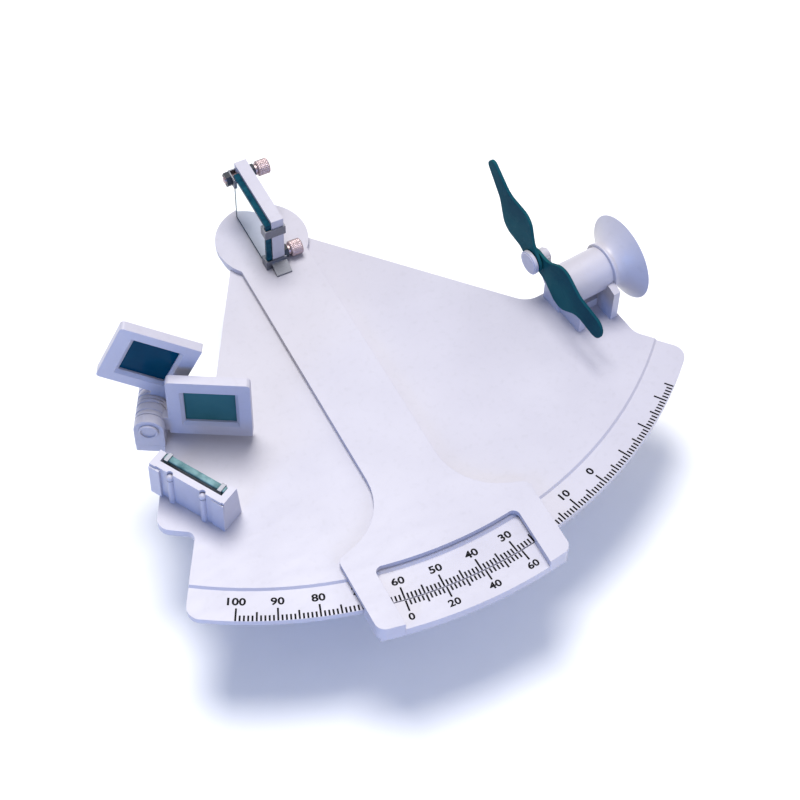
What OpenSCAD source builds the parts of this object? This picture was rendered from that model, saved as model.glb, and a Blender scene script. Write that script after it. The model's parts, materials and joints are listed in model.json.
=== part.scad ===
// Marine sextant of moulded plastic: a sector frame with a graduated limb, an index arm with a
// vernier, index and horizon mirrors, two framed index shades, two horizon shades and a sight tube.
//
// The origin is on the index pivot's axis at table level, under the apex foot. +Z is the normal of
// the frame plate and -Y runs from the pivot to the middle of the limb. The arm rests at 60 degrees.

/* [Frame] */
// Outer radius of the graduated limb
limb_r = 165; // [164:0.5:166]
// Height of the limb's upper face above the table
limb_z = 42; // [41:0.5:44]
// Thickness of the frame plate at the limb
plate_t = 2.4; // [2.2:0.1:2.8]
// Rise of the middle of the plate above the limb
plateau_h = 0.8; // [0.4:0.1:0.8]
// Radius at which the raised middle of the plate ends
plateau_r = 153.3; // [152:0.1:154]
// Depth of the stiffening ribs under the plate
rib_h = 2.5; // [2:0.5:4]

/* [Index arm] */
// Direction of the arm's centre line when the vernier reads 60
arm_az = -96.25; // [-97:0.05:-95]
// Thickness of the arm
arm_t = 2.2; // [2:0.1:2.4]
// Gap between the arm and the frame's raised middle
arm_gap = 0.1; // [0.05:0.05:0.2]
// Half width of the arm's straight part
arm_half_w = 13.5; // [13:0.1:14]
// Half width of the arm's vernier end
end_half_w = 36.8; // [36:0.1:37]
// Outer radius of the arm's vernier end
end_r = 176; // [175:0.5:177]
// Radius of the disc round the pivot
disc_r = 17.7; // [17:0.1:18]
// Inner radius of the reading window
window_r = 151.8; // [151:0.1:152]
// Half width of the reading window
window_half_w = 27.5; // [27:0.1:28]

/* [Mirrors] */
// Height of the glass of the index mirror
index_glass_h = 23.6; // [23:0.1:24]
// Length of the glass of the index mirror
index_glass_l = 28.5; // [28:0.1:29]
// Distance from the pivot to the horizon mirror
horizon_dist = 120; // [119:0.5:121]
// Height of the horizon mirror's top above the limb
horizon_top = 17; // [16:0.5:17.5]

/* [Index shades] */
// Width of an index shade's frame
shade_w = 29.2; // [28:0.1:30]
// Height of an index shade's frame
shade_h = 29.2; // [28:0.1:30]
// Thickness of an index shade's frame
shade_t = 3.6; // [3.4:0.1:3.8]
// Angle at which the far shade is swung up
far_shade_angle = 67.5; // [0:0.5:90]

/* [Sight tube] */
// Height of the tube's axis above the limb
tube_axis = 16.5; // [16:0.1:17]
// Outer radius of the tube
tube_r = 8.05; // [7.9:0.05:8.2]
// Bore radius of the tube
tube_bore = 6.6; // [6.2:0.1:6.8]
// Outer radius of the eyecup's rim
eyecup_r = 16.65; // [15:0.05:17]
// Length of a horizon shade from its pin to its tip
blade_len = 40; // [38:0.5:41]
// Thickness of a horizon shade
blade_t = 1.2; // [1:0.1:1.2]

/* [Underside] */
// Width of the handle
handle_w = 16; // [14:0.5:16]
// Clear depth for the fingers behind the handle
finger_gap = 25.6; // [24:0.1:26]
// Thickness of a rubber foot
foot_t = 2; // [1.5:0.5:2]

/* [Hidden] */

round_fn = 96;
small_fn = 48;
eps = 0.01;

plastic = [0.90, 0.90, 0.94];
shade_green = [0.05, 0.25, 0.28];
steel = [0.70, 0.71, 0.73];
nickel = [0.80, 0.76, 0.74];
dark = [0.10, 0.11, 0.12];
mirror_blue = [0.55, 0.72, 0.78];

// Levels of the plate and the arm
plate_bottom = limb_z - plate_t;
plateau_z = limb_z + plateau_h;
arm_bottom = plateau_z + arm_gap;
arm_top = arm_bottom + arm_t;

// Limb ends, measured at the pivot
limb_left = -130;
limb_right = -50.2;
plateau_slope = 0.8;

// Optics: at a reading of 0 the arm has turned 30 degrees, and both mirrors are parallel
reading_turn = 30;
mirror_normal = arm_az + reading_turn + 90;
path_az = 2 * mirror_normal - 180;
horizon_c = horizon_dist * [cos(path_az), sin(path_az)];
tube_y = horizon_c.y;
tube_z = limb_z + tube_axis;

// Hinge of the index shades: axis on the left tab, running towards the pivot
hinge_c = [-81.5, -59.6];
hinge_z = limb_z + 9.7;
hinge_turn = -35.5;
knuckle_r = 5.3;
hinge_pin_r = 1.5;
run_gap = 0.05;

// Horizon shades: pin beside the tube's front end
blade_pin_y = -74.2;
blade_pin_z = limb_z + 18.8;
blade_pin_r = 2;
lug_x = 75;
lug_t = 2.4;
washer_t = 0.4;
blade_gap = 0.05;
lower_x = lug_x - washer_t - blade_gap - blade_t;
upper_x = lower_x - 2 * blade_gap - washer_t - blade_t;
head_x = upper_x - blade_gap - washer_t;

// Tube stand and tube along X
stand_x0 = 76;
stand_x1 = 78.8;
yoke_x0 = 89.5;
yoke_x1 = 92.4;
bead_x = 92.5;
rim_x = 101.8;

// Pivot stack below the arm
hub_r = 5.5;
hub_end = limb_z - 6.4;
boss_bottom = limb_z - 5.5;
bush_r = 7.2;
leg_r = 11;
cavity_r = 8.8;

// Outer legs
leg_places = [[-50, -112], [62, -112]];
foot_plug_r = 2.9;
spigot_r = 3;
spigot_h = 1.6;

// Handle: a bow along Y with a flange at each end
handle_x = -2;
handle_y0 = -124;
handle_y1 = -36;
handle_post = 9;
flange_l = 11;
flange_t = 3.5;
handle_screw_y = [handle_y0 - flange_l / 2, handle_y1 + flange_l / 2];

// Index mirror, in the arm's own axes: X outwards along the arm, Y towards the arm's back side
glass_y0 = -4.2;
glass_y1 = -2;
support_y0 = -1.9;
support_y1 = 2.9;
support_x0 = -18.5;
support_x1 = 14.5;
support_top = limb_z + 28;
upper_screw = [-16.3, limb_z + 23];
lower_screw = [11.8, limb_z + 6.3];
screw_r = 1.5;
knob_r = 3;
knob_y0 = 6;
knob_y1 = 10.8;
clip_t = 0.6;

function polar(r, a) = [r * cos(a), r * sin(a)];

// Arc of radius r that rounds corner b between a and c
function corner(a, b, c, r) =
    let(u = (a - b) / norm(a - b), v = (c - b) / norm(c - b),
        half = acos(max(-1, min(1, u * v))) / 2,
        o = b + (u + v) / norm(u + v) * r / sin(half),
        p = b + u * r / tan(half) - o,
        q = b + v * r / tan(half) - o,
        a0 = atan2(p.y, p.x),
        d = (atan2(q.y, q.x) - a0 + 540) % 360 - 180,
        n = max(2, ceil(abs(d) / 9)))
    [for (i = [0:n]) o + r * [cos(a0 + d * i / n), sin(a0 + d * i / n)]];

// Outline whose corners are given as [x, y, radius]
function rounded(c) = let(n = len(c)) [for (i = [0:n - 1])
    let(b = [c[i].x, c[i].y], a = c[(i + n - 1) % n], e = c[(i + 1) % n])
    each (c[i][2] > 0 ? corner([a.x, a.y], b, [e.x, e.y], c[i][2]) : [b])];

function with_r(p, r) = [p.x, p.y, r];

module disc(r, h, z = 0, fn = round_fn) {
    translate([0, 0, z])
        cylinder(r = r, h = h, $fn = fn);
}

module ring(r1, r0, h, z = 0) {
    difference() {
        disc(r1, h, z);
        disc(r0, h + 2 * eps, z - eps);
    }
}

// Box between two corners
module block(a, b) {
    translate(a)
        cube(b - a);
}

// Cylinder along Y from y0 to y1
module y_rod(r, y0, y1, fn = small_fn) {
    translate([0, y0, 0])
        rotate([-90, 0, 0])
            cylinder(r = r, h = y1 - y0, $fn = fn);
}

// Cylinder along X from x0 to x1
module x_rod(r, x0, x1, fn = round_fn) {
    translate([x0, 0, 0])
        rotate([0, 90, 0])
            cylinder(r = r, h = x1 - x0, $fn = fn);
}

// Outline in Y and Z, extruded from x0 to x1
module x_plate(points, x0, x1) {
    translate([x0, 0, 0])
        rotate([90, 0, 90])
            linear_extrude(x1 - x0)
                polygon(points);
}

// Pan-head screw pointing up, with its head's underside at z = 0
module screw_up(shank_r, shank_l, head_r, head_h) {
    disc(shank_r, shank_l + eps, -eps, small_fn);
    difference() {
        disc(head_r, head_h, -head_h, small_fn);
        rotate([0, 0, 30])
            block([-head_r * 0.7, -0.35, -head_h - eps], [head_r * 0.7, 0.35, -head_h + 0.7]);
        rotate([0, 0, 120])
            block([-head_r * 0.7, -0.35, -head_h - eps], [head_r * 0.7, 0.35, -head_h + 0.7]);
    }
}

module on_arm() {
    rotate([0, 0, arm_az])
        children();
}

module on_hinge() {
    translate([hinge_c.x, hinge_c.y, hinge_z])
        rotate([0, 0, hinge_turn])
            children();
}

// Axes of the horizon mirror: X along the glass, Y towards the index mirror
module on_horizon() {
    translate([horizon_c.x, horizon_c.y, limb_z])
        rotate([0, 0, mirror_normal - 90])
            children();
}

// ---------------------------------------------------------------- frame

frame_corners = [
    [-9.5, 5, 0],
    [-53.8, -55.4, 4],
    [-74.5, -40.6, 2],
    [-85.8, -56.5, 0.6],
    [-77.2, -62.7, 0.6],
    [-97, -91, 5],
    [-86.3, -99.6, 3],
    with_r(polar(limb_r, limb_left), 5.5),
    with_r(polar(limb_r / cos((limb_right - limb_left) / 2), (limb_left + limb_right) / 2), 0),
    with_r(polar(limb_r, limb_right), 5.5),
    [93.5, -110.6, 7],
    [93.5, -77.5, 3],
    [68.7, -77.5, 9],
    [7, 5, 0]];

module frame_outline() {
    polygon(rounded(frame_corners));
}

// Outer legs, each with a spigot that fits a blind hole in the plate
module legs_outer() {
    color(plastic)
    for (p = leg_places)
        translate([p.x, p.y, 0])
            difference() {
                union() {
                    translate([0, 0, foot_t])
                        cylinder(r1 = 6, r2 = 8, h = plate_bottom - foot_t, $fn = round_fn);
                    disc(spigot_r, plate_bottom + spigot_h - foot_t, foot_t, small_fn);
                }
                disc(foot_plug_r, 10, 0, small_fn);
            }
}

// Hollow leg under the pivot, which shrouds the pivot screw
module apex_leg() {
    color(plastic)
        ring(leg_r, cavity_r, plate_bottom - foot_t, foot_t);
}

module side_rib(angle) {
    rotate([0, 0, angle])
        block([leg_r + 0.05, -1, plate_bottom - rib_h], [147, 1, plate_bottom + eps]);
}

module limb_rib() {
    intersection() {
        ring(148, 146, rib_h + eps, plate_bottom - rib_h);
        linear_extrude(limb_z)
            polygon([[0, 0], polar(200, -124), [0, -240], polar(200, -56)]);
    }
}

module frame_plate() {
    color(plastic)
    difference() {
        union() {
            intersection() {
                translate([0, 0, plate_bottom])
                    linear_extrude(plate_t)
                        frame_outline();
                disc(limb_r, limb_z + eps, 0, 360);
            }
            intersection() {
                translate([0, 0, limb_z - eps])
                    linear_extrude(plateau_h + eps)
                        frame_outline();
                translate([0, 0, limb_z - eps])
                    cylinder(r1 = plateau_r, r2 = plateau_r - plateau_slope,
                        h = plateau_h + eps, $fn = 360);
            }
            disc(16.5, plateau_z - plate_bottom, plate_bottom);
            disc(cavity_r, plate_bottom - boss_bottom + eps, boss_bottom);
            side_rib(-123);
            side_rib(-57);
            limb_rib();
        }
        disc(bush_r, 20, boss_bottom - eps);
        for (p = leg_places)
            translate([p.x, p.y, 0])
                disc(spigot_r, plate_bottom + spigot_h, 0, small_fn);
        for (y = handle_screw_y)
            translate([handle_x + handle_w / 2, y, 0])
                disc(1.2, plate_bottom + 2.2, 0, small_fn);
        frame_screw_holes(stand_screws, 1.5);
        frame_screw_holes(bracket_screws, 1.5);
        frame_screw_holes(mirror_pin_places, mirror_pin_r + 0.02);
    }
}

// Places on the plate, worked out from the hinge, the tube and the horizon mirror
function hinge_place(p) = hinge_c
    + [p.x * cos(hinge_turn) - p.y * sin(hinge_turn), p.x * sin(hinge_turn) + p.y * cos(hinge_turn)];
function horizon_place(p) = horizon_c + [
    p.x * cos(mirror_normal - 90) - p.y * sin(mirror_normal - 90),
    p.x * sin(mirror_normal - 90) + p.y * cos(mirror_normal - 90)];

stand_screws = [[81.5, tube_y], [87, tube_y]];
bracket_screws = [hinge_place([0, 5.5]), hinge_place([0, 14.5])];
mirror_pin_r = 1.2;
pin_ball_r = 1.3;
pin_ball_z = 14.6;
mirror_pin_places = [horizon_place([-6.3, -3]), horizon_place([7.4, -3])];

module frame_screw_holes(places, r) {
    for (p = places)
        translate([p.x, p.y, plate_bottom - 1])
            disc(r, plate_t + plateau_h + 2, 0, small_fn);
}

module pivot_bush() {
    color([0.75, 0.6, 0.3])
        ring(bush_r, hub_r + run_gap, plateau_z - boss_bottom - 0.05, boss_bottom);
}

module foot_apex() {
    color(dark)
    difference() {
        union() {
            disc(leg_r, foot_t);
            disc(cavity_r, foot_t + 4);
        }
        disc(6.5, 6, foot_t + 0.5);
    }
}

module feet_outer() {
    color(dark)
    for (p = leg_places)
        translate([p.x, p.y, 0]) {
            disc(6, foot_t);
            disc(foot_plug_r, 9, 0, small_fn);
        }
}

// Bow profile in Y and Z
handle_outer = rounded([
    [handle_y0, plate_bottom, 0], [handle_y0, foot_t + 0.2, 12],
    [handle_y1, foot_t + 0.2, 12], [handle_y1, plate_bottom, 0]]);
handle_inner = rounded([
    [handle_y0 + handle_post, plate_bottom + 1, 0],
    [handle_y0 + handle_post, plate_bottom - finger_gap, 7],
    [handle_y1 - handle_post, plate_bottom - finger_gap, 7],
    [handle_y1 - handle_post, plate_bottom + 1, 0]]);

module handle() {
    color(plastic)
    difference() {
        union() {
            x_plate(handle_outer, handle_x, handle_x + handle_w);
            for (y = [handle_y0 - flange_l, handle_y1 - eps])
                block([handle_x, y, plate_bottom - flange_t],
                    [handle_x + handle_w, y + flange_l + eps, plate_bottom]);
        }
        x_plate(handle_inner, handle_x - 1, handle_x + handle_w + 1);
        for (y = handle_screw_y)
            translate([handle_x + handle_w / 2, y, 0])
                disc(1.6, 60, 0, small_fn);
    }
}

module handle_screws() {
    color(steel)
    for (y = handle_screw_y)
        translate([handle_x + handle_w / 2, y, plate_bottom - flange_t])
            screw_up(1.15, flange_t + 2, 3, 1.6);
}

// ---------------------------------------------------------------- sight tube and horizon shades

// Lower half of the stand's front plate, in Y and Z
stand_profile = [[-99.5, plateau_z], [-99.5, limb_z + 6.5], [-97, tube_z - 2], [-79.5, tube_z - 2],
    [-78.5, limb_z + 12], [-78.5, plateau_z]];
lug_profile = [[-88, plateau_z], [-84, limb_z + 9], [-80.4, limb_z + 14.5], [-77.2, blade_pin_z + 1.8],
    [-71.6, blade_pin_z - 2.4], [-78.5, limb_z + 8], [-78.5, plateau_z]];

module tube_cut(r) {
    translate([0, tube_y, tube_z])
        x_rod(r, 60, 110);
}

module tube_stand() {
    color(plastic)
    difference() {
        union() {
            x_plate(stand_profile, stand_x0, stand_x1);
            x_plate(lug_profile, lug_x, lug_x + lug_t);
            translate([0, blade_pin_y, blade_pin_z])
                x_rod(3.1, lug_x, lug_x + lug_t, small_fn);
            x_plate([[-101, plateau_z], [-101, limb_z + 15], [-98.2, tube_z - 0.4], [-78.8, tube_z - 0.4],
                [-78, limb_z + 15], [-78, plateau_z]], yoke_x0, yoke_x1);
            block([stand_x1 - eps, tube_y - 4, plateau_z], [yoke_x0 + eps, tube_y + 4, plateau_z + 4]);
        }
        tube_cut(tube_r + 0.02);
        translate([0, blade_pin_y, blade_pin_z])
            x_rod(blade_pin_r, 60, 90, small_fn);
        for (p = stand_screws)
            translate([p.x, p.y, 0])
                disc(1.2, plateau_z + 3.2, 0, small_fn);
    }
}

module plate_screws(places, depth) {
    color(steel)
    for (p = places)
        translate([p.x, p.y, plate_bottom])
            screw_up(1.15, plate_t + plateau_h + depth, 2.6, 1.4);
}

module tube_stand_screws() {
    plate_screws(stand_screws, 3);
}

module sight_tube() {
    color(plastic)
    translate([0, tube_y, tube_z])
    difference() {
        x_rod(tube_r, stand_x0, 96);
        x_rod(tube_bore, 60, 110);
    }
}

// The eyecup flares from the tube to its rim along a curve
flare_n = 12;
function flare(t) = (eyecup_r - tube_r - 0.5) * pow(t, 1.7);
eyecup_profile = concat(
    [for (i = [0:flare_n]) [tube_r + 0.5 + flare(i / flare_n), 94 + (rim_x - 94) * i / flare_n]],
    [for (i = [flare_n:-1:3]) [tube_r - 0.9 + flare(i / flare_n), 94 + (rim_x - 94) * i / flare_n]],
    [[tube_r, 94.8], [tube_r, bead_x - 0.1], [tube_r + 0.5, bead_x - 0.1]],
    [[tube_r + 1.1, bead_x + 0.2], [tube_r + 1.1, 93.5], [tube_r + 0.5, 93.9]]);

module eyecup() {
    color(plastic)
    translate([0, tube_y, tube_z])
    rotate([0, 90, 0])
    difference() {
        rotate_extrude($fn = round_fn)
            polygon(eyecup_profile);
        translate([0, 0, 90])
            cylinder(r = tube_r + 0.01, h = 6.02, $fn = round_fn);
    }
}

module horizon_shade_pin() {
    color(plastic)
    translate([0, blade_pin_y, blade_pin_z]) {
        x_rod(blade_pin_r - 0.01, head_x - eps, lug_x + lug_t + 0.9, small_fn);
        difference() {
            x_rod(4.7, head_x - 1.7, head_x, small_fn);
            difference() {
                x_rod(6, head_x - 2, head_x - 1.4, small_fn);
                x_rod(4, head_x - 3, head_x, small_fn);
            }
        }
        x_rod(2.6, lug_x + lug_t, lug_x + lug_t + 0.9, small_fn);
    }
}

module horizon_shade_washers() {
    color(dark)
    translate([0, blade_pin_y, blade_pin_z])
    for (x = [head_x, upper_x + blade_t + blade_gap, lug_x - washer_t])
        difference() {
            x_rod(3.7, x, x + washer_t, small_fn);
            x_rod(blade_pin_r, x - 1, x + 1, small_fn);
        }
}

// Blade outline, from the pin along +X: a wide lobe, a waist and a finger
function blade_corners(lobe, waist, tip, tip_r) = [
    [-4.4, -4.2, 4],
    [6, -4.8, 6],
    [14.5, -lobe, 7],
    [25.5, -waist - 1.4, 9],
    [blade_len, -tip - 1, tip_r],
    [blade_len, tip - 1, tip_r],
    [26, waist - 1.4, 9],
    [16, lobe, 6.5],
    [6, 5.4, 8],
    [-4.4, 4.2, 4]];

// Blade in the YZ plane, turned so that its finger points at angle, measured from +Y
module blade(corners, angle, x) {
    color(shade_green)
    translate([x, blade_pin_y, blade_pin_z])
    rotate([90, 0, 90])
    rotate([0, 0, angle])
    difference() {
        linear_extrude(blade_t)
            polygon(rounded(corners));
        disc(blade_pin_r + run_gap, 10, -5, small_fn);
    }
}

module horizon_shade_upper() {
    blade(blade_corners(11, 4, 2.5, 2.4), 43, upper_x);
}

module horizon_shade_lower() {
    blade(blade_corners(11.8, 4.8, 4.9, 4.6), 185, lower_x);
}

// ---------------------------------------------------------------- horizon mirror

holder_x0 = -14.8;
holder_x1 = 16.2;
wall_back = -2.9;
wall_front = 0.5;
holder_base = 2;
glass_front = 3.6;
clip_w = 1.6;
glass_back = 1.2;

module holder_end(x0, x1, back, front) {
    translate([x1, 0, 0])
        rotate([90, 0, -90])
            linear_extrude(x1 - x0)
                polygon([[-front, plateau_h], [-front + 1.7, horizon_top], [-back - 0.7, horizon_top],
                    [-back, plateau_h]]);
}

module horizon_mirror_holder() {
    color(plastic)
    on_horizon()
    difference() {
        union() {
            block([holder_x0 + 1, wall_back, plateau_h], [holder_x1 - 1, wall_front, horizon_top]);
            block([holder_x0 + 1, wall_back, plateau_h], [holder_x1 - 1, 5.2, holder_base]);
            holder_end(13.6, holder_x1, wall_back - 0.4, 6.5);
            holder_end(holder_x0, -12.2, wall_back - 1, 5.2);
            block([holder_x0, wall_back - 1, plateau_h], [-10.4, wall_back + eps, horizon_top - 1.2]);
            block([11, wall_back - 0.4, plateau_h], [holder_x1, wall_back + eps, horizon_top - 1.2]);
        }
        for (x = [-6.3, 7.4])
            translate([x, -3, 0]) {
                disc(mirror_pin_r + 0.02, 30, -5, small_fn);
                translate([0, 0, pin_ball_z])
                    sphere(r = pin_ball_r + 0.02, $fn = small_fn);
            }
        block([-12.2, wall_front - 0.9, 6], [13.6, wall_front + eps, horizon_top + eps]);
    }
}

module horizon_mirror_pins() {
    color(plastic)
    on_horizon()
    for (x = [-6.3, 7.4])
        translate([x, -3, 0]) {
            disc(mirror_pin_r, 16, -plate_t, small_fn);
            translate([0, 0, pin_ball_z])
                sphere(r = pin_ball_r, $fn = small_fn);
        }
}

module horizon_mirror_glass() {
    color(mirror_blue)
    on_horizon()
        block([-12, glass_back, holder_base], [13.4, glass_front, horizon_top]);
}

// Spring clips that bear on the glass's front face near its ends
module horizon_mirror_clips() {
    color(steel)
    on_horizon()
    for (x = [-11.4, 11]) {
        block([x, glass_front, holder_base], [x + clip_w, glass_front + 0.4, horizon_top + 0.4]);
        block([x, wall_front, horizon_top], [x + clip_w, glass_front + 0.4, horizon_top + 0.4]);
    }
}

// ---------------------------------------------------------------- index shades

ear_t = 3.6;
near_knuckle = [3.8, 10.3];
far_knuckle = [10.5, 16.4];
rear_ear = [16.6, 19.6];
near_face = 4;
far_face = 12;
shade_x0 = 6.7;
shade_z0 = -6.2;
window_x = [12.5, 30.5];
window_z = [0, 16.6];
bracket_base = plateau_z - hinge_z;

module ear(y0, y1) {
    y_rod(knuckle_r, y0, y1);
    block([-knuckle_r, y0, bracket_base], [knuckle_r, y1, 0]);
}

module shade_bracket() {
    color(plastic)
    on_hinge()
    difference() {
        union() {
            ear(0, ear_t);
            ear(rear_ear[0], rear_ear[1]);
            block([-knuckle_r, eps, bracket_base], [knuckle_r, rear_ear[1] - eps, -6.3]);
        }
        y_rod(hinge_pin_r, -5, 25);
        for (y = [5.5, 14.5])
            translate([0, y, bracket_base - 1])
                disc(1.2, 3.4, 0, small_fn);
    }
}

module shade_bracket_screws() {
    plate_screws(bracket_screws, 2);
}

module shade_hinge_pin() {
    color(plastic)
    on_hinge() {
        y_rod(hinge_pin_r - 0.01, -eps, rear_ear[1] + 0.8);
        difference() {
            y_rod(3.5, -1, 0);
            y_rod(2.7, -1.1, -0.4);
        }
        y_rod(2.3, rear_ear[1], rear_ear[1] + 0.8);
    }
}

// One framed shade hanging on a knuckle, with its face at y = face
module shade_frame(knuckle, face) {
    difference() {
        union() {
            y_rod(knuckle_r - 0.3, knuckle[0], knuckle[1]);
            y_rod(knuckle_r, knuckle[0], knuckle[0] + 1.1);
            y_rod(knuckle_r, knuckle[0] + 2.1, knuckle[1] - 2.1);
            y_rod(knuckle_r, knuckle[1] - 1.1, knuckle[1]);
            block([0, face, -4.4], [shade_x0 + eps, face + shade_t, 2.6]);
            translate([0, face + shade_t, 0])
                rotate([90, 0, 0])
                    linear_extrude(shade_t)
                        polygon(rounded([
                            [shade_x0, shade_z0, 0.6], [shade_x0 + shade_w, shade_z0, 0.6],
                            [shade_x0 + shade_w, shade_z0 + shade_h, 1.4],
                            [shade_x0, shade_z0 + shade_h, 1.4]]));
        }
        y_rod(hinge_pin_r + run_gap, -5, 25);
        block([window_x[0], face - 1, window_z[0]], [window_x[1], face + shade_t + 1, window_z[1]]);
        shade_pocket(face, 1.2, 2, shade_t + 1);
        hull() {
            block([window_x[0] - 1.2, face - eps, window_z[0] - 1.2],
                [window_x[1] + 1.2, face, window_z[1] + 1.2]);
            block([window_x[0], face + 1.1, window_z[0]], [window_x[1], face + 1.2, window_z[1]]);
        }
    }
}

// Recess round the window, grown by margin, between two depths behind the face
module shade_pocket(face, margin, y0, y1) {
    block([window_x[0] - margin, face + y0, window_z[0] - margin],
        [window_x[1] + margin, face + y1, window_z[1] + margin]);
}

module swung(angle) {
    rotate([0, -angle, 0])
        children();
}

module shade_frame_near() {
    color(plastic)
    on_hinge()
        shade_frame(near_knuckle, near_face);
}

module shade_glass_near() {
    color(shade_green)
    on_hinge()
        shade_pocket(near_face, 1.1, 2, 3.3);
}

module shade_frame_far() {
    color(plastic)
    on_hinge()
        swung(far_shade_angle)
            shade_frame(far_knuckle, far_face);
}

module shade_glass_far() {
    color(shade_green)
    on_hinge()
        swung(far_shade_angle)
            shade_pocket(far_face, 1.1, 2, 3.3);
}

// ---------------------------------------------------------------- index arm

end_angle = asin(end_half_w / end_r);
arm_half = [
    [0, arm_half_w, 0],
    [133.5, arm_half_w, 24],
    [141.2, end_half_w, 3],
    with_r(polar(end_r, end_angle), 4),
    [end_r / cos(end_angle), 0, 0]];
function mirrored(c) = [for (i = [len(c) - 2:-1:0]) [c[i].x, -c[i].y, c[i][2]]];

window_angle = asin(window_half_w / window_r);
window_corners = concat(
    [[190, window_half_w, 0]],
    [with_r(polar(window_r, window_angle), 2.5)],
    [for (i = [-5:5]) with_r(polar(window_r, -window_angle * i / 6), 0)],
    [with_r(polar(window_r, -window_angle), 2.5)],
    [[190, -window_half_w, 0]]);

module arm_outline() {
    polygon(rounded(concat(arm_half, mirrored(arm_half))));
}

module index_arm() {
    color(plastic)
    on_arm()
    difference() {
        union() {
            intersection() {
                translate([0, 0, arm_bottom])
                    linear_extrude(arm_t)
                        arm_outline();
                disc(end_r, 100, 0, 360);
            }
            intersection() {
                translate([0, 0, skirt_bottom])
                    linear_extrude(arm_top - skirt_bottom)
                        arm_outline();
                ring(end_r, limb_r + 0.4, 20, skirt_bottom);
            }
            disc(disc_r, arm_t, arm_bottom);
            disc(hub_r, arm_bottom - hub_end + eps, hub_end);
        }
        translate([0, 0, skirt_bottom - 1])
            linear_extrude(20)
                polygon(rounded(window_corners));
        disc(1.6, arm_bottom - hub_end, hub_end - eps, small_fn);
        for (s = [-1, 1])
            translate([keeper_screw_x, s * keeper_screw_y, skirt_bottom - 1])
                disc(1.2, 5, 0, small_fn);
        for (p = support_screw_places)
            translate([p.x, p.y, arm_bottom - 1])
                disc(1.2, arm_t + 2, 0, small_fn);
        for (p = support_screw_places)
            translate([p.x, p.y, arm_bottom - eps])
                disc(2.7, 1.2, 0, small_fn);
    }
}

skirt_bottom = limb_z - 3.5;
keeper_screw_x = 168.2;
keeper_screw_y = 31.3;
support_screw_places = [[-10, 0.5], [8.6, 0.5]];

module vernier_strip() {
    color(plastic)
    on_arm()
    intersection() {
        ring(end_r, limb_r + 0.4, limb_z - skirt_bottom, skirt_bottom);
        block([140, -window_half_w + 0.05, 0], [200, window_half_w - 0.05, 100]);
    }
}

module arc_keeper() {
    color(plastic)
    on_arm()
    difference() {
        intersection() {
            union() {
                ring(end_r - 0.6, 158, 1.6, skirt_bottom - 1.6);
                ring(164, 158, plate_bottom - 0.1 - skirt_bottom + eps, skirt_bottom - eps);
            }
            union() {
                block([120, -end_half_w + 1, 0], [200, end_half_w - 1, skirt_bottom]);
                for (y = [-26, 18])
                    block([120, y, 0], [200, y + 8, 100]);
            }
        }
        for (s = [-1, 1])
            translate([keeper_screw_x, s * keeper_screw_y, 0])
                disc(1.3, 100, 0, small_fn);
    }
}

module keeper_screws() {
    color(steel)
    on_arm()
    for (s = [-1, 1])
        translate([keeper_screw_x, s * keeper_screw_y, skirt_bottom - 1.6])
            screw_up(1.15, 5, 2.2, 1.2);
}

module pivot_spring() {
    color(steel)
        ring(8.2, hub_r + 0.2, 0.75, hub_end + 0.05);
}

module pivot_washer() {
    color(steel)
        ring(8.3, 1.7, 1.5, hub_end - 1.5);
}

module pivot_screw() {
    color(steel)
    translate([0, 0, hub_end - 1.5])
        screw_up(1.55, 6, 4.6, 2.4);
}

// ---------------------------------------------------------------- index mirror

module screw_bore(place, r, y0, y1) {
    translate([place.x, 0, place.y])
        y_rod(r, y0, y1);
}

module index_mirror_support() {
    color(plastic)
    on_arm()
    difference() {
        union() {
            block([-14.4, support_y0, arm_top], [support_x1, support_y1, support_top]);
            block([support_x0, support_y0, limb_z + 17.5], [-14.4 + eps, support_y1, support_top]);
        }
        screw_bore(upper_screw, screw_r + run_gap, -10, 20);
        screw_bore(lower_screw, screw_r + run_gap, -10, 20);
        for (p = support_screw_places)
            translate([p.x, p.y, arm_top - eps])
                disc(1.2, 2.6, 0, small_fn);
    }
}

module support_screws() {
    color(steel)
    on_arm()
    for (p = support_screw_places)
        translate([p.x, p.y, arm_bottom + 1.15])
            screw_up(1.15, 3.2, 2.6, 1.1);
}

module index_mirror_glass() {
    color(mirror_blue)
    on_arm()
        block([-index_glass_l / 2, glass_y0, arm_top + 0.05],
            [index_glass_l / 2, glass_y1, arm_top + 0.05 + index_glass_h]);
}

// U of spring strip round the mirror's outer edge, between two heights
module edge_clip(z0, z1) {
    difference() {
        block([11, glass_y0 - clip_t, z0], [support_x1 + clip_t, support_y1 + clip_t, z1]);
        block([10, glass_y0, z0 - 1], [support_x1, support_y1, z1 + 1]);
    }
}

module index_clip_upper() {
    color(steel)
    on_arm()
        edge_clip(limb_z + 20.2, limb_z + 24.2);
}

module index_clip_lower() {
    color(steel)
    on_arm() {
        difference() {
            edge_clip(arm_top + 0.1, arm_top + 4.2);
            block([lower_screw.x - 4, support_y1 - eps, 0], [lower_screw.x + 2.8, 10, 100]);
        }
        translate([0, support_y1 + clip_t, 0])
            rotate([90, 0, 0])
                linear_extrude(6.2)
                    polygon([[support_x1 + 0.2, arm_top + 2.6], [support_x1 + clip_t, arm_top + 2.6],
                        [19.8, arm_top + 0.7], [19.8, arm_top + 0.1], [support_x1 + 0.2, arm_top + 1.8]]);
    }
}

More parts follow.
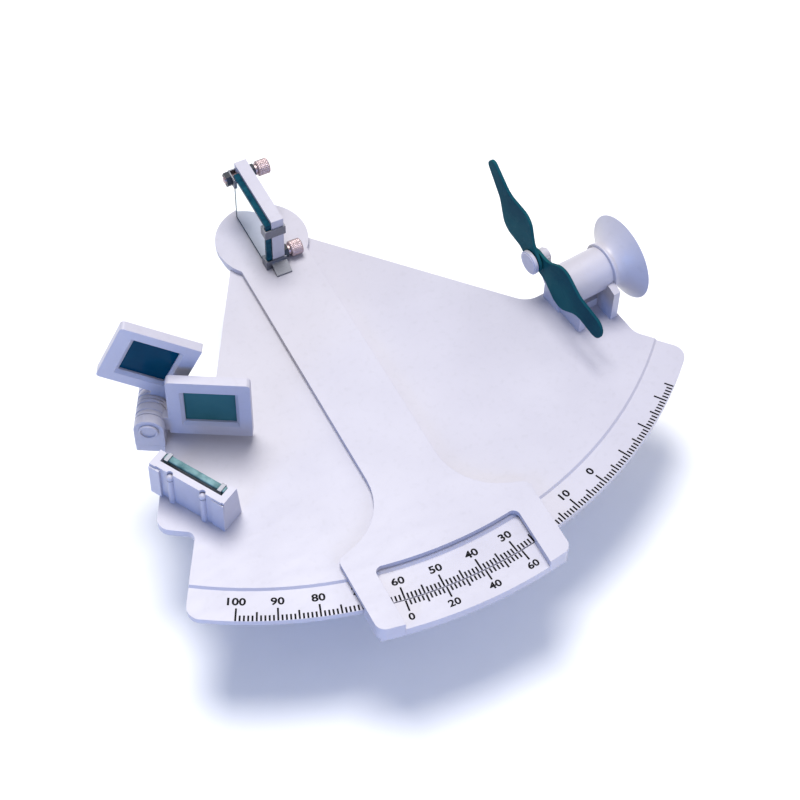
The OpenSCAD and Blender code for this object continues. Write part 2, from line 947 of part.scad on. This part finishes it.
module index_clip_far() {
    color(steel)
    on_arm()
    difference() {
        union() {
            block([support_x0 + 0.2, glass_y0 - clip_t, limb_z + 20.8],
                [-12.4, glass_y0, limb_z + 25.4]);
            block([support_x0 + 0.2, glass_y0 - eps, limb_z + 20.8],
                [support_x0 + 0.2 + clip_t, support_y0, limb_z + 25.4]);
        }
        screw_bore(upper_screw, screw_r + 0.15, -10, 20);
    }
}

// Hexagonal nut on a screw's axis
module hex_on(place, r, y0, y1) {
    difference() {
        translate([place.x, 0, place.y])
            y_rod(r, y0, y1, 6);
        screw_bore(place, screw_r + run_gap, -20, 20);
    }
}

module index_lock_nuts() {
    color(dark)
    on_arm() {
        hex_on(upper_screw, 2.7, support_y1, support_y1 + 2.2);
        hex_on(lower_screw, 2.7, support_y1, support_y1 + 2.2);
    }
}

module index_hex_nut() {
    color(dark)
    on_arm()
        hex_on(upper_screw, 2.9, glass_y0 - clip_t - 2, glass_y0 - clip_t);
}

// Knurled thumbscrew along Y, with its tip at y = tip
knurl_n = 18;
module thumbscrew(place, tip) {
    color(nickel)
    on_arm()
    translate([place.x, 0, place.y]) {
        y_rod(screw_r, tip, knob_y0 + eps);
        y_rod(2, support_y1 + 2.3, knob_y0 + eps);
        difference() {
            y_rod(knob_r, knob_y0, knob_y1);
            for (i = [0:knurl_n - 1])
                rotate([0, i * 360 / knurl_n, 0])
                    translate([knob_r + 0.12, knob_y0 + 0.6, 0])
                        rotate([-90, 0, 0])
                            cylinder(r = 0.38, h = knob_y1 - knob_y0 - 1.2, $fn = 6);
        }
    }
}

module index_screw_upper() {
    thumbscrew(upper_screw, glass_y0 - clip_t - 2.6);
}

module index_screw_lower() {
    thumbscrew(lower_screw, glass_y1 + 0.15);
}

frame_plate();
handle();
handle_screws();
apex_leg();
legs_outer();
foot_apex();
feet_outer();
pivot_bush();
tube_stand();
tube_stand_screws();
sight_tube();
eyecup();
horizon_shade_pin();
horizon_shade_washers();
horizon_shade_upper();
horizon_shade_lower();
horizon_mirror_holder();
horizon_mirror_pins();
horizon_mirror_glass();
horizon_mirror_clips();
shade_bracket();
shade_bracket_screws();
shade_hinge_pin();
shade_frame_near();
shade_glass_near();
shade_frame_far();
shade_glass_far();
index_arm();
vernier_strip();
arc_keeper();
keeper_screws();
pivot_spring();
pivot_washer();
pivot_screw();
index_mirror_support();
support_screws();
index_mirror_glass();
index_clip_upper();
index_clip_lower();
index_clip_far();
index_lock_nuts();
index_hex_nut();
index_screw_upper();
index_screw_lower();
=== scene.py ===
"""Marine sextant: materials, printed scales, softened mouldings and fine knurling round the CAD frame."""
import json
import math

import bmesh
import bpy
from mathutils import Matrix, Vector


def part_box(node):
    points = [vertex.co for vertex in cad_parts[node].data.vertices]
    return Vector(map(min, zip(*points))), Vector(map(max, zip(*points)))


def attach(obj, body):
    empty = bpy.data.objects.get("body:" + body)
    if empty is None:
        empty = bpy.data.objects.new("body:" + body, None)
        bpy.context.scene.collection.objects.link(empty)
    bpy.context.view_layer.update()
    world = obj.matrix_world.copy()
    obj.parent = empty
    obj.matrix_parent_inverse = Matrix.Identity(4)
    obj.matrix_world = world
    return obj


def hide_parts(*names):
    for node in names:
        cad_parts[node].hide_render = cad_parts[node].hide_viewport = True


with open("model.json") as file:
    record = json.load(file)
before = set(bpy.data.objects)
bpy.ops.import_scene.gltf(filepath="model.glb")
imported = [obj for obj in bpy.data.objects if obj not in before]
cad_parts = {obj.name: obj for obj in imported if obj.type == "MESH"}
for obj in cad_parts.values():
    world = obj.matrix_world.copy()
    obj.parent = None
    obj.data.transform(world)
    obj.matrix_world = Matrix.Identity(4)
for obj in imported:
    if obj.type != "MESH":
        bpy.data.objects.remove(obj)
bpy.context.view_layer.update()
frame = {"record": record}

MM = 0.001

# ------------------------------------------------------------------ places taken from the frame

limb_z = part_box("vernier_strip")[1][2]
joint = {j["name"]: j for j in frame["record"]["behaviour"]["joints"]}
home_of = {n: b for b, nodes in frame["record"]["behaviour"]["bodies"].items() for n in nodes}
slot_of = {s["node"]: s["material_slot"] for s in frame["record"]["subparts"]}


# ------------------------------------------------------------------ camera, light and floor

CAMERA_TARGET_XY = (0.0039, -0.0896)
CAMERA_AZIMUTH, CAMERA_TILT, CAMERA_ROLL = math.radians(-34.61), math.radians(36.36), math.radians(1.71)
CAMERA_DISTANCE = 0.7498
CAMERA_LENS = 93.93        # mm, on a sensor 36 mm wide


def add_camera():
    """Camera above and in front of the limb, aimed near the middle of the frame."""
    target = Vector((*CAMERA_TARGET_XY, limb_z))
    turn = (Matrix.Rotation(CAMERA_AZIMUTH, 4, "Z") @ Matrix.Rotation(CAMERA_TILT, 4, "X")
            @ Matrix.Rotation(CAMERA_ROLL, 4, "Z"))
    data = bpy.data.cameras.new("camera")
    data.lens = CAMERA_LENS
    data.sensor_width = 36
    data.clip_start = 0.01
    camera = bpy.data.objects.new("camera", data)
    place = target + turn.to_3x3() @ Vector((0, 0, CAMERA_DISTANCE))
    camera.matrix_world = Matrix.Translation(place) @ turn
    bpy.context.collection.objects.link(camera)
    bpy.context.scene.camera = camera


def add_area_light(name, place, size, power, colour):
    """Round light of a diameter in metres and a power in watts, aimed at the middle of the limb plane."""
    target = Vector((0, -0.09, limb_z))
    data = bpy.data.lights.new(name, "AREA")
    data.shape = "DISK"
    data.size = size
    data.energy = power
    data.color = colour
    light = bpy.data.objects.new(name, data)
    light.location = place
    light.rotation_euler = (target - Vector(place)).to_track_quat("-Z", "Y").to_euler()
    bpy.context.collection.objects.link(light)


def add_lights():
    """Warm key from above and behind, faint right fill, bluish fills from the front and the left."""
    add_area_light("key", (0.08, 0.26, 1.2), 0.7, 17.2, (1.0, 0.985, 0.96))
    add_area_light("right_fill", (0.95, -0.75, 0.7), 0.7, 3.0, (0.90, 0.90, 1.0))
    add_area_light("front_fill", (-0.05, -1.3, 0.36), 0.5, 4.2, (0.34, 0.50, 1.0))
    add_area_light("cool_fill", (-1.15, -0.6, 0.36), 0.5, 5.5, (0.0, 0.26, 1.0))
    world = bpy.data.worlds.new("studio")
    world.use_nodes = True
    background = world.node_tree.nodes["Background"]
    background.inputs["Color"].default_value = (0.88, 0.91, 1.0, 1)
    background.inputs["Strength"].default_value = 0.46
    bpy.context.scene.world = world


def set_view():
    """Plain sRGB, in which the lit floor is pure white and shaded faces keep their depth."""
    view = bpy.context.scene.view_settings
    view.view_transform = "Standard"
    view.look = "None"


FLOOR_HALF = 3.0           # metres from the middle of the floor to its edge
FLOOR_DROP = 0.5 * MM      # the floor lies this much under the feet


def add_floor():
    mesh = bpy.data.meshes.new("floor")
    bm = bmesh.new()
    bmesh.ops.create_grid(bm, x_segments=4, y_segments=4, size=FLOOR_HALF)
    bm.to_mesh(mesh)
    bm.free()
    floor = bpy.data.objects.new("floor", mesh)
    floor.location.z = -FLOOR_DROP
    bpy.context.collection.objects.link(floor)
    material, nodes, links, shader = new_material("floor")
    shader.inputs["Roughness"].default_value = 0.85
    noise_colour(nodes, links, shader, (0.90, 0.90, 0.90), (0.93, 0.93, 0.93), 30)
    mesh.materials.append(material)


# ------------------------------------------------------------------ materials

def new_material(name):
    material = bpy.data.materials.new(name)
    material.use_nodes = True
    nodes, links = material.node_tree.nodes, material.node_tree.links
    return material, nodes, links, nodes["Principled BSDF"]


def object_noise(nodes, links, scale, detail=4.0, stretch=(1, 1, 1)):
    """Noise in object space, at scale cycles a metre."""
    coordinates = nodes.new("ShaderNodeTexCoord")
    mapping = nodes.new("ShaderNodeMapping")
    mapping.inputs["Scale"].default_value = stretch
    noise = nodes.new("ShaderNodeTexNoise")
    noise.inputs["Scale"].default_value = scale
    noise.inputs["Detail"].default_value = detail
    links.new(coordinates.outputs["Object"], mapping.inputs["Vector"])
    links.new(mapping.outputs["Vector"], noise.inputs["Vector"])
    return noise.outputs["Fac"]


def ramp(nodes, links, source, low, high, start=0.3, end=0.7):
    node = nodes.new("ShaderNodeValToRGB")
    node.color_ramp.elements[0].position = start
    node.color_ramp.elements[0].color = (*low, 1)
    node.color_ramp.elements[1].position = end
    node.color_ramp.elements[1].color = (*high, 1)
    links.new(source, node.inputs["Fac"])
    return node.outputs["Color"]


def grey_range(nodes, links, source, low, high):
    node = nodes.new("ShaderNodeMapRange")
    node.inputs["From Min"].default_value = 0.3
    node.inputs["From Max"].default_value = 0.7
    node.inputs["To Min"].default_value = low
    node.inputs["To Max"].default_value = high
    links.new(source, node.inputs["Value"])
    return node.outputs["Result"]


def noise_colour(nodes, links, shader, low, high, scale):
    drift = ramp(nodes, links, object_noise(nodes, links, scale), low, high)
    links.new(drift, shader.inputs["Base Color"])


def bump(nodes, links, shader, source, strength, distance):
    node = nodes.new("ShaderNodeBump")
    node.inputs["Strength"].default_value = strength
    node.inputs["Distance"].default_value = distance
    links.new(source, node.inputs["Height"])
    links.new(node.outputs["Normal"], shader.inputs["Normal"])


def moulded_plastic(name, low, high, roughness, speckle=0.0):
    """Moulded plastic: slow colour drift, handling marks in the gloss and a faint spark-eroded grain."""
    material, nodes, links, shader = new_material(name)
    drift = ramp(nodes, links, object_noise(nodes, links, 35), low, high)
    grime = ramp(nodes, links, object_noise(nodes, links, 420, 8),
                 (0.93, 0.93, 0.92), (1, 1, 1), 0.28, 0.46)
    mix = nodes.new("ShaderNodeMix")
    mix.data_type = "RGBA"
    mix.blend_type = "MULTIPLY"
    mix.inputs["Factor"].default_value = speckle
    links.new(drift, mix.inputs["A"])
    links.new(grime, mix.inputs["B"])
    links.new(mix.outputs["Result"], shader.inputs["Base Color"])
    handled = object_noise(nodes, links, 90, 6, (1, 3, 1))
    gloss = grey_range(nodes, links, handled, roughness - 0.02, roughness + 0.05)
    links.new(gloss, shader.inputs["Roughness"])
    bump(nodes, links, shader, object_noise(nodes, links, 2600, 3), 0.1, 0.05 * MM)
    shader.inputs["Specular IOR Level"].default_value = 0.45
    return material


def brushed_metal(name, low, high, roughness, stretch, scale=900):
    """Metal with fine lines along one axis."""
    material, nodes, links, shader = new_material(name)
    shader.inputs["Metallic"].default_value = 1.0
    lines = object_noise(nodes, links, scale, 6, stretch)
    links.new(ramp(nodes, links, lines, low, high), shader.inputs["Base Color"])
    links.new(grey_range(nodes, links, lines, roughness - 0.06, roughness + 0.1), shader.inputs["Roughness"])
    bump(nodes, links, shader, lines, 0.06, 0.02 * MM)
    return material


def dark_filter(name, low, high, gloss=0.2, shine=0.012):
    """Dye-filled filter: nearly black, with a teal body colour, faint wiping marks and little shine."""
    material, nodes, links, shader = new_material(name)
    noise_colour(nodes, links, shader, low, high, 45)
    shader.inputs["IOR"].default_value = 1.42
    shader.inputs["Specular IOR Level"].default_value = shine
    smears = object_noise(nodes, links, 160, 5)
    links.new(grey_range(nodes, links, smears, gloss, gloss + 0.12), shader.inputs["Roughness"])
    bump(nodes, links, shader, object_noise(nodes, links, 120, 2), 0.06, 0.2 * MM)
    return material


def glass_edge(name, low, high, stretch):
    """Cut edge of mirror glass, with the long marks of the cutter; mirror_pane also lays it round the
    silvered face as a painted reflection of those edges.
    """
    material, nodes, links, shader = new_material(name)
    marks = object_noise(nodes, links, 500, 5, stretch)
    links.new(ramp(nodes, links, marks, low, high), shader.inputs["Base Color"])
    shader.inputs["Roughness"].default_value = 0.18
    shader.inputs["Specular IOR Level"].default_value = 0.05
    bump(nodes, links, shader, marks, 0.25, 0.05 * MM)
    return material


def silvered_glass(name):
    material, nodes, links, shader = new_material(name)
    noise_colour(nodes, links, shader, (0.74, 0.83, 0.85), (0.80, 0.88, 0.90), 80)
    shader.inputs["Metallic"].default_value = 1.0
    smears = object_noise(nodes, links, 200, 6)
    links.new(grey_range(nodes, links, smears, 0.015, 0.07), shader.inputs["Roughness"])
    return material


def rubber(name):
    material, nodes, links, shader = new_material(name)
    noise_colour(nodes, links, shader, (0.025, 0.025, 0.028), (0.05, 0.05, 0.055), 400)
    shader.inputs["Roughness"].default_value = 0.8
    bump(nodes, links, shader, object_noise(nodes, links, 1800, 4), 0.4, 0.1 * MM)
    return material


def scale_ink(name):
    material, nodes, links, shader = new_material(name)
    noise_colour(nodes, links, shader, (0.001, 0.001, 0.002), (0.004, 0.004, 0.007), 900)
    shader.inputs["Roughness"].default_value = 0.6
    shader.inputs["Specular IOR Level"].default_value = 0.1
    return material


def make_materials():
    return {
        "white_plastic": moulded_plastic("white_plastic", (0.43, 0.415, 0.475), (0.465, 0.45, 0.51),
                                         0.36, 0.6),
        "shade_filter": dark_filter("shade_filter", (0.004, 0.040, 0.064), (0.012, 0.090, 0.100)),
        "mirror_glass": silvered_glass("mirror_glass"),
        "spring_steel": brushed_metal("spring_steel", (0.17, 0.175, 0.20), (0.24, 0.245, 0.275),
                                      0.5, (1, 1, 8)),
        "screw_steel": brushed_metal("screw_steel", (0.48, 0.49, 0.51), (0.58, 0.58, 0.60),
                                     0.3, (1, 1, 1)),
        "nickel": brushed_metal("nickel", (0.40, 0.31, 0.32), (0.54, 0.43, 0.44), 0.42, (1, 1, 1)),
        "black_oxide": moulded_plastic("black_oxide", (0.006, 0.009, 0.016), (0.014, 0.018, 0.028),
                                       0.45, 0.3),
        "rubber": rubber("rubber"),
        "brass": brushed_metal("brass", (0.55, 0.38, 0.15), (0.70, 0.52, 0.24), 0.28, (1, 1, 1)),
    }


# ------------------------------------------------------------------ mesh helpers

def add_piece(name, mesh, body, material):
    piece = bpy.data.objects.new(name, mesh)
    bpy.context.collection.objects.link(piece)
    mesh.materials.clear()
    mesh.materials.append(material)
    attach(piece, body)
    return piece


def smooth_shade(bm, crisp):
    """Smooth shading, except across edges sharper than crisp degrees."""
    for face in bm.faces:
        face.smooth = True
    for edge in bm.edges:
        edge.smooth = len(edge.link_faces) == 2 and edge.calc_face_angle(0) < math.radians(crisp)


WELD = 0.002 * MM                  # vertices closer than this are one
FLAT_ANGLE = math.radians(0.8)     # faces that meet flatter than this are one


def softened(node, width, angle=28, crisp=35, segments=3):
    """Copy of a CAD node with every edge sharper than angle rounded to width; it stands for the node.

    Edges still sharper than crisp afterwards are shaded as edges. Both angles are in degrees.
    """
    mesh = bpy.data.objects[node].data.copy()
    mesh.name = node + "_soft"
    bm = bmesh.new()
    bm.from_mesh(mesh)
    bmesh.ops.remove_doubles(bm, verts=bm.verts, dist=WELD)
    bmesh.ops.dissolve_limit(bm, angle_limit=FLAT_ANGLE, verts=bm.verts, edges=bm.edges)
    bm.normal_update()
    sharp = [e for e in bm.edges if len(e.link_faces) == 2 and e.calc_face_angle(0) > math.radians(angle)]
    bmesh.ops.bevel(bm, geom=sharp, offset=width, offset_type="OFFSET", segments=segments, profile=0.5,
                    affect="EDGES", clamp_overlap=True)
    smooth_shade(bm, crisp)
    bm.to_mesh(mesh)
    bm.free()
    piece = add_piece(node + "_soft", mesh, home_of[node], materials[slot_of[node]])
    normals = piece.modifiers.new("flat_faces_stay_flat", "WEIGHTED_NORMAL")
    normals.keep_sharp = True
    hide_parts(node)
    return piece


def mirror_pane(node, facing, cut_edge_and_reflection_material, reflected_edge_band=1.6 * MM):
    """Silvered glass: its broad faces reflect inside a band of edge colour, a painted reflection of the
    glass's cut edges in the silvering, and its cut edges are dark.
    """
    pane = softened(node, 0.2 * MM, segments=1)
    bm = bmesh.new()
    bm.from_mesh(pane.data)
    broad = [f for f in bm.faces if abs(f.normal.dot(facing)) > 0.95]
    for face in bm.faces:
        face.material_index = 1
    # The inset band keeps material 1, the edge colour: a painted reflection of the glass's cut edges, not a
    # real coating.
    bmesh.ops.inset_region(bm, faces=broad, thickness=reflected_edge_band)
    for face in broad:
        face.material_index = 0
    bm.to_mesh(pane.data)
    bm.free()
    pane.data.materials.append(cut_edge_and_reflection_material)


# ------------------------------------------------------------------ knurled thumbscrews

def knurl_depth(turn, along, depth=0.22 * MM, starts=22, pitch=1.15 * MM):
    """Depth of two crossed sets of V grooves at an angle, in turns, and a distance along the axis."""
    def groove(phase):
        return abs((phase % 1) - 0.5) * 2
    lead = along / pitch
    return depth * min(groove(turn * starts + lead), groove(turn * starts - lead))


SHANK_R, COLLAR_R, HEAD_R = 1.45 * MM, 2.0 * MM, 3.0 * MM
HEAD_L, COLLAR_L, HEAD_CHAMFER = 4.8 * MM, 0.8 * MM, 0.35 * MM
HALF_PITCH, THREAD_DEPTH = 0.25 * MM, 0.18 * MM
TIP_TAPER, TIP_SHARE = 0.3 * MM, 0.7        # length of the tip's taper, and its end radius as a share
DIMPLE_DEPTH, DIMPLE_RIM, DIMPLE_FLOOR = 0.25 * MM, 0.62, 0.55      # radii as shares of the head's
KNURL_ROWS, KNURL_SIDES = 26, 176


def thumbscrew_profile(tip, end):
    """Rings from the shank's tip to the head's end, as (place on the axis, radius, knurled or not)."""
    head, collar = end - HEAD_L, end - HEAD_L - COLLAR_L
    profile = [(tip, 0, False), (tip, SHANK_R * TIP_SHARE, False), (tip + TIP_TAPER, SHANK_R, False)]
    y = tip + 2 * HALF_PITCH
    while y < collar - 2 * HALF_PITCH:
        profile += [(y, SHANK_R - THREAD_DEPTH, False), (y + HALF_PITCH, SHANK_R, False)]
        y += 2 * HALF_PITCH
    first, last = head + HEAD_CHAMFER, end - HEAD_CHAMFER
    profile += [(collar, SHANK_R, False), (collar, COLLAR_R, False), (head, COLLAR_R, False),
                (head, HEAD_R - HEAD_CHAMFER, False)]
    profile += [(first + (last - first) * i / KNURL_ROWS, HEAD_R, True) for i in range(KNURL_ROWS + 1)]
    profile += [(end, HEAD_R - HEAD_CHAMFER, False), (end, HEAD_R * DIMPLE_RIM, False),
                (end - DIMPLE_DEPTH, HEAD_R * DIMPLE_FLOOR, False), (end - DIMPLE_DEPTH, 0, False)]
    return profile


def thumbscrew(node, joint_name):
    """Screw with a threaded shank and a diamond-knurled head, turned about its own joint's axis."""
    axis = Vector(joint[joint_name]["axis"]).normalized()
    middle = Vector(joint[joint_name]["pos_m"])
    heights = [(v.co - middle).dot(axis) for v in bpy.data.objects[node].data.vertices]
    turn = axis.to_track_quat("Z", "Y").to_matrix()
    bm = bmesh.new()
    rings = []
    for y, radius, knurled in thumbscrew_profile(min(heights), max(heights)):
        ring = []
        for i in range(KNURL_SIDES if radius else 1):
            r = radius - (knurl_depth(i / KNURL_SIDES, y) if knurled else 0)
            angle = 2 * math.pi * i / KNURL_SIDES
            ring.append(bm.verts.new(middle + turn @ Vector((r * math.cos(angle), r * math.sin(angle), y))))
        rings.append(ring)
    for a, b in zip(rings, rings[1:]):
        for i in range(KNURL_SIDES):
            corners = [a[i % len(a)], a[(i + 1) % len(a)], b[(i + 1) % len(b)], b[i % len(b)]]
            bm.faces.new(list(dict.fromkeys(corners)))
    bmesh.ops.recalc_face_normals(bm, faces=bm.faces)
    smooth_shade(bm, 30)
    mesh = bpy.data.meshes.new(node + "_knurled")
    bm.to_mesh(mesh)
    bm.free()
    piece = add_piece(node + "_knurled", mesh, home_of[node], materials[slot_of[node]])
    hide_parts(node)


# ------------------------------------------------------------------ scales

INK_H = 0.03 * MM
LIMB_R = 165 * MM                  # outer edge of the limb
LIMB_INSET = 0.1 * MM              # the limb's ticks end this much short of its edge
LIMB_ZERO = -74.1                  # azimuth of the limb's 0, in degrees
LIMB_FIRST, LIMB_LAST = -35, 100   # marked degrees, half a degree of arc each
LIMB_TICK_R = {10: 160.0 * MM, 5: 161.4 * MM, 1: 162.7 * MM}       # where ticks of each rank start
VERNIER_R = 165.5 * MM             # inner end of the vernier's ticks
VERNIER_TICK_L = {10: 4.2 * MM, 5: 3 * MM, 1: 2 * MM}
VERNIER_ARM = -96.25               # azimuth of the arm at rest, in degrees
VERNIER_ZERO = -7.85               # the vernier's 0, in degrees from the arm
VERNIER_STEP = 0.51667             # 31 half degrees of arc in 30 divisions
TICK_W = 0.66 * MM


def rank(division):
    """10, 5 or 1: how long a tick the division gets."""
    return 10 if division % 10 == 0 else 5 if division % 5 == 0 else 1


def tick(bm, azimuth, r0, r1):
    """Printed line along a radius."""
    turn = Matrix.Rotation(azimuth, 4, "Z")
    corners = [turn @ Vector((r, s * TICK_W / 2, h)) for h in (limb_z, limb_z + INK_H)
               for r, s in ((r0, -1), (r1, -1), (r1, 1), (r0, 1))]
    v = [bm.verts.new(c) for c in corners]
    for face in ((3, 2, 1, 0), (4, 5, 6, 7), (0, 1, 5, 4), (1, 2, 6, 5), (2, 3, 7, 6), (3, 0, 4, 7)):
        bm.faces.new([v[i] for i in face])


NUMERAL_STRETCH = 1.22             # width of a numeral against the font's own


def numeral(bm, text, azimuth, radius, height):
    """Printed numeral whose top points to the pivot."""
    curve = bpy.data.curves.new("numeral", "FONT")
    curve.body = text
    curve.align_x = "CENTER"
    curve.extrude = 0.5
    curve.offset = 0.03
    curve.resolution_u = 3
    source = bpy.data.objects.new("numeral", curve)
    bpy.context.collection.objects.link(source)
    bpy.context.view_layer.update()
    mesh = bpy.data.meshes.new_from_object(source.evaluated_get(bpy.context.evaluated_depsgraph_get()))
    xs = [v.co.x for v in mesh.vertices]
    ys = [v.co.y for v in mesh.vertices]
    middle = Vector(((min(xs) + max(xs)) / 2, (min(ys) + max(ys)) / 2, -0.5))
    factor = height / (max(ys) - min(ys))
    place = (Matrix.Rotation(azimuth, 4, "Z") @ Matrix.Translation((radius, 0, limb_z))
             @ Matrix.Rotation(math.pi / 2, 4, "Z")
             @ Matrix.Diagonal((factor * NUMERAL_STRETCH, factor, INK_H, 1))
             @ Matrix.Translation(-middle))
    mesh.transform(place)
    bm.from_mesh(mesh)
    bpy.data.objects.remove(source)
    bpy.data.curves.remove(curve)
    bpy.data.meshes.remove(mesh)


def ink_piece(name, bm, body):
    mesh = bpy.data.meshes.new(name)
    bm.to_mesh(mesh)
    bm.free()
    return add_piece(name, mesh, body, ink)


def limb_scale():
    """Half a degree of arc for each marked degree, 0 on the right and 100 on the left."""
    bm = bmesh.new()
    for mark in range(LIMB_FIRST, LIMB_LAST + 1):
        azimuth = math.radians(LIMB_ZERO - mark / 2)
        tick(bm, azimuth, LIMB_TICK_R[rank(mark)], LIMB_R - LIMB_INSET)
        if mark >= 0 and mark % 10 == 0:
            numeral(bm, str(mark), azimuth, 157.4 * MM, 3.0 * MM)
    return ink_piece("limb_scale", bm, "frame")


def vernier_scale():
    """30 divisions over 15.5 degrees of arc, so each one is two minutes."""
    bm = bmesh.new()
    for division in range(31):
        azimuth = math.radians(VERNIER_ARM + VERNIER_ZERO + VERNIER_STEP * division)
        tick(bm, azimuth, VERNIER_R, VERNIER_R + VERNIER_TICK_L[rank(division)])
        if division % 10 == 0:
            numeral(bm, str(division * 2), azimuth, 171.9 * MM, 2.8 * MM)
    return ink_piece("vernier_scale", bm, "index_arm")


# ------------------------------------------------------------------ build

materials = make_materials()
ink = scale_ink("scale_ink")
for node, slot in slot_of.items():
    shape = bpy.data.objects[node]
    for material_slot in shape.material_slots:
        material_slot.material = materials[slot]

add_camera()
add_lights()
set_view()
add_floor()
limb_scale()
vernier_scale()

# Edge radii of the mouldings, in metres; thin strips and pins take smaller ones
for node in ("handle", "tube_stand", "horizon_mirror_holder", "shade_bracket", "index_mirror_support",
             "shade_frame_near", "shade_frame_far"):
    softened(node, 0.35 * MM)
for node in ("index_arm", "apex_leg", "legs_outer", "horizon_shade_pin", "shade_hinge_pin",
             "sight_tube", "eyecup", "arc_keeper"):
    softened(node, 0.22 * MM)
softened("frame_plate", 0.3 * MM, angle=40, crisp=15)
for node in ("horizon_shade_upper", "horizon_shade_lower"):
    softened(node, 0.18 * MM)
for node in ("index_clip_upper", "index_clip_lower", "index_clip_far", "horizon_mirror_clips"):
    softened(node, 0.08 * MM)
for node in ("index_lock_nuts", "index_hex_nut", "horizon_shade_washers"):
    softened(node, 0.1 * MM)

# The near shade is the paler of the two filters
for node, low, high in (("shade_glass_near", (0.022, 0.095, 0.098), (0.038, 0.13, 0.138)),
                        ("shade_glass_far", (0.000, 0.030, 0.062), (0.001, 0.060, 0.100))):
    pane = softened(node, 0.15 * MM)
    pane.data.materials[0] = dark_filter(node + "_dye", low, high, 0.04, 0.035)

arm_side = Vector(joint["upper_screw_turn"]["axis"])
# Both mirrors get the edge colour as a painted reflection band round their silvered faces.
mirror_pane("index_mirror_glass", arm_side,
            glass_edge("index_glass_edge_and_reflection", (0.002, 0.030, 0.055), (0.008, 0.065, 0.095), (1, 1, 1)))
mirror_pane("horizon_mirror_glass", Matrix.Rotation(math.radians(30), 3, "Z") @ arm_side,
            glass_edge("horizon_glass_edge_and_reflection", (0.03, 0.10, 0.11), (0.20, 0.34, 0.35), (0.5, 0.5, 0.5)))
thumbscrew("index_screw_upper", "upper_screw_turn")
thumbscrew("index_screw_lower", "lower_screw_turn")
